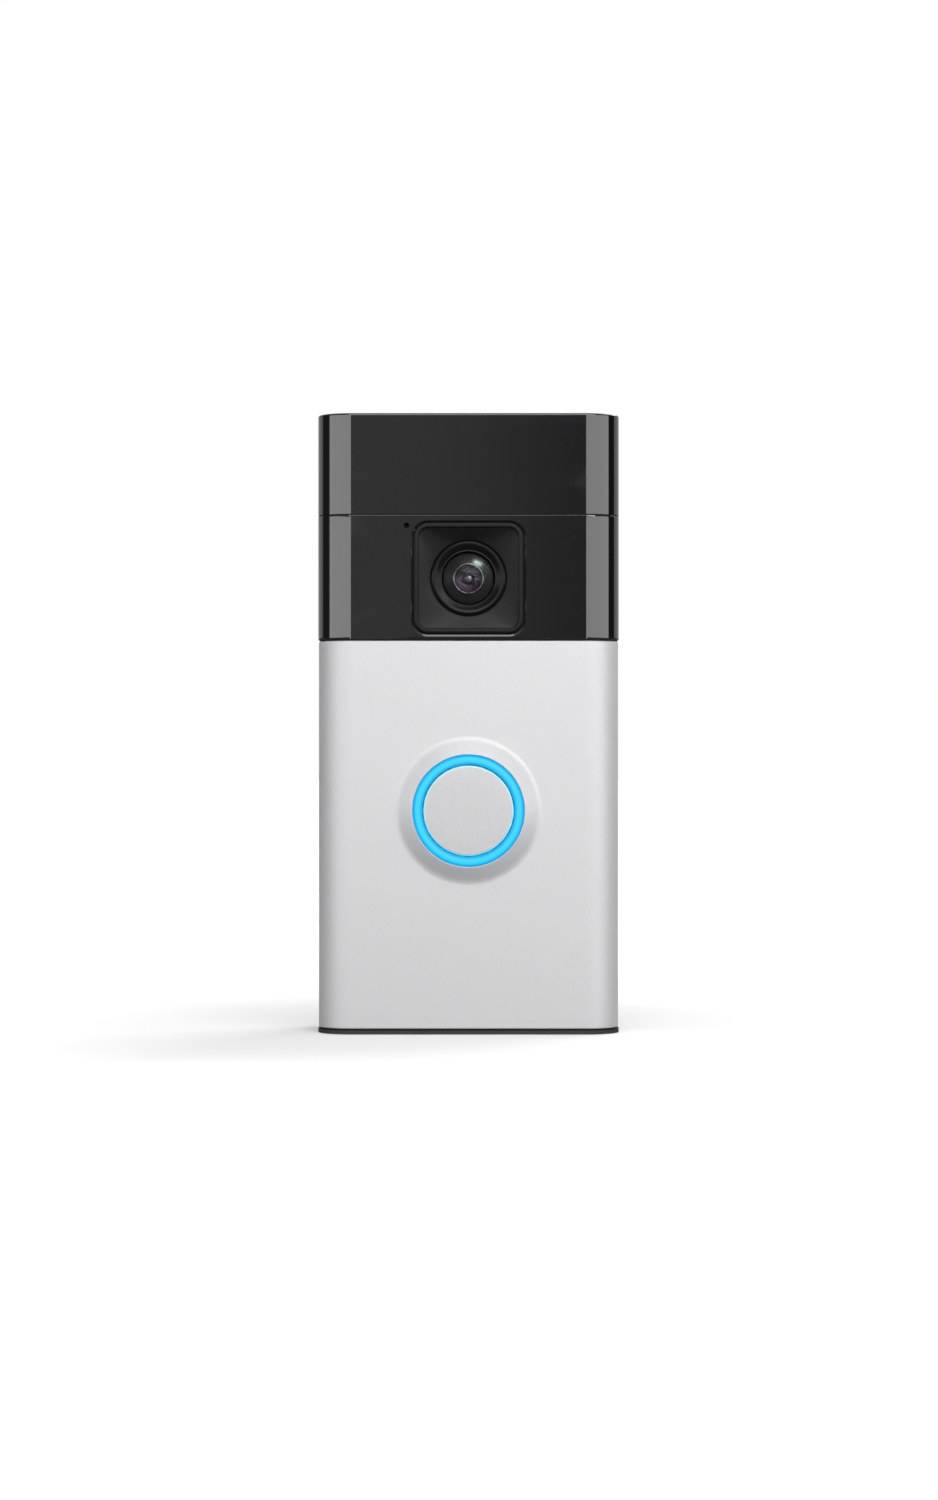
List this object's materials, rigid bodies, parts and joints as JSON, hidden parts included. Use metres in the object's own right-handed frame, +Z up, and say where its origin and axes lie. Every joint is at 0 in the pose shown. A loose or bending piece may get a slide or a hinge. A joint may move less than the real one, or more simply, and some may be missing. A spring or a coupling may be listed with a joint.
{
  "type": "video doorbell",
  "caption": "Upright battery video doorbell: glossy black head with a square camera window, satin silver faceplate with a raised round button and lit blue ring, on a lift-off wall bracket",
  "frame": {"origin": "middle of the bottom of the box round the part, where it stands on its base", "axes": "+Z up along the height, +X to the right as seen from the front, +Y back toward the wall; the button and camera face -Y"},
  "size_m": [0.062, 0.028, 0.127],
  "materials": {
    "satin_silver": "satin silver paint with a fine metallic flake",
    "gloss_black": "polished black, mirror gloss",
    "satin_black": "satin black with very faint turning marks",
    "housing_black": "fine moulded grain",
    "bracket_black": "fine moulded grain",
    "lens_glass": "coated optical glass with a violet sheen",
    "lit_blue": "translucent light guide, lit cyan blue",
    "silicone": "translucent grey silicone",
    "window_film": "smoked ribbed polyethylene",
    "rubber": "matt black rubber",
    "steel": "plain zinc-plated steel",
    "terminal_brass": "turned brass",
    "board_green": "green solder mask",
    "board_white": "white solder mask",
    "tinned_steel": "tinned sheet steel",
    "chip_black": "moulded epoxy and pressed fibre",
    "battery_wrap": "blue wrapped lithium pouch",
    "foam": "closed-cell foam",
    "amber_film": "amber flexible circuit film"
  },
  "bodies": {
    "bracket": {"mounting_bracket": "bracket_black", "release_clip": "steel", "clip_rivet": "steel"},
    "doorbell": {"faceplate": "satin_silver", "camera_fascia": "gloss_black", "sensor_cover": "gloss_black", "lens_hood": "gloss_black", "camera_cover": "satin_black", "rear_housing": "housing_black", "front_frame": "housing_black", "lens_barrel": "housing_black", "lens_holder": "housing_black", "speaker_frame": "housing_black", "front_lens": "lens_glass", "inner_lens": "lens_glass", "infrared_filter": "lens_glass", "infrared_led_left": "lens_glass", "infrared_led_right": "lens_glass", "light_ring": "lit_blue", "housing_gasket": "silicone", "microphone_seal": "silicone", "button_dome": "silicone", "motion_lens": "window_film", "housing_screw_upper_left": "steel", "housing_screw_upper_right": "steel", "housing_screw_lower_left": "steel", "housing_screw_lower_right": "steel", "speaker_magnet": "steel", "terminal_screw_left": "terminal_brass", "terminal_screw_right": "terminal_brass", "camera_board": "board_green", "night_board": "board_green", "motion_board": "board_green", "main_board": "board_green", "rear_board": "board_green", "light_board": "board_white", "ring_led_1": "board_white", "ring_led_2": "board_white", "ring_led_3": "board_white", "ring_led_4": "board_white", "processor_shield": "tinned_steel", "wireless_shield": "tinned_steel", "microphone": "tinned_steel", "motion_sensor": "tinned_steel", "charge_port": "tinned_steel", "aperture_plate": "chip_black", "image_sensor": "chip_black", "light_sensor": "chip_black", "button_switch": "chip_black", "setup_switch": "chip_black", "speaker_cone": "chip_black", "speaker_mesh": "chip_black", "battery_pack": "battery_wrap", "battery_pad": "foam", "antenna": "amber_film", "camera_ribbon": "amber_film"},
    "button": {"button_cap": "satin_silver"},
    "setup": {"setup_button": "rubber"},
    "cover": {"port_cover": "rubber"}
  },
  "joints": [
    {"name": "bracket_release", "type": "slide", "parent": "bracket", "child": "doorbell", "axis": [0, -0.7071, 0.7071], "range_m": [0, 0.035], "deforming": ["release_clip"]},
    {"name": "button_press", "type": "slide", "parent": "doorbell", "child": "button", "axis": [0, 1, 0], "range_m": [0, 0.0007], "stiffness_N_per_m": 1500, "springref_m": -0.0005, "deforming": ["button_dome"]},
    {"name": "setup_button_press", "type": "slide", "parent": "doorbell", "child": "setup", "axis": [0, -1, 0], "range_m": [0, 0.0005], "stiffness_N_per_m": 1500, "springref_m": -0.0004},
    {"name": "port_cover_hinge", "type": "hinge", "parent": "doorbell", "child": "cover", "pos_m": [-0.009, 0.0072, 0.0884], "axis": [1, 0, 0], "range_deg": [0, 100]}
  ]
}
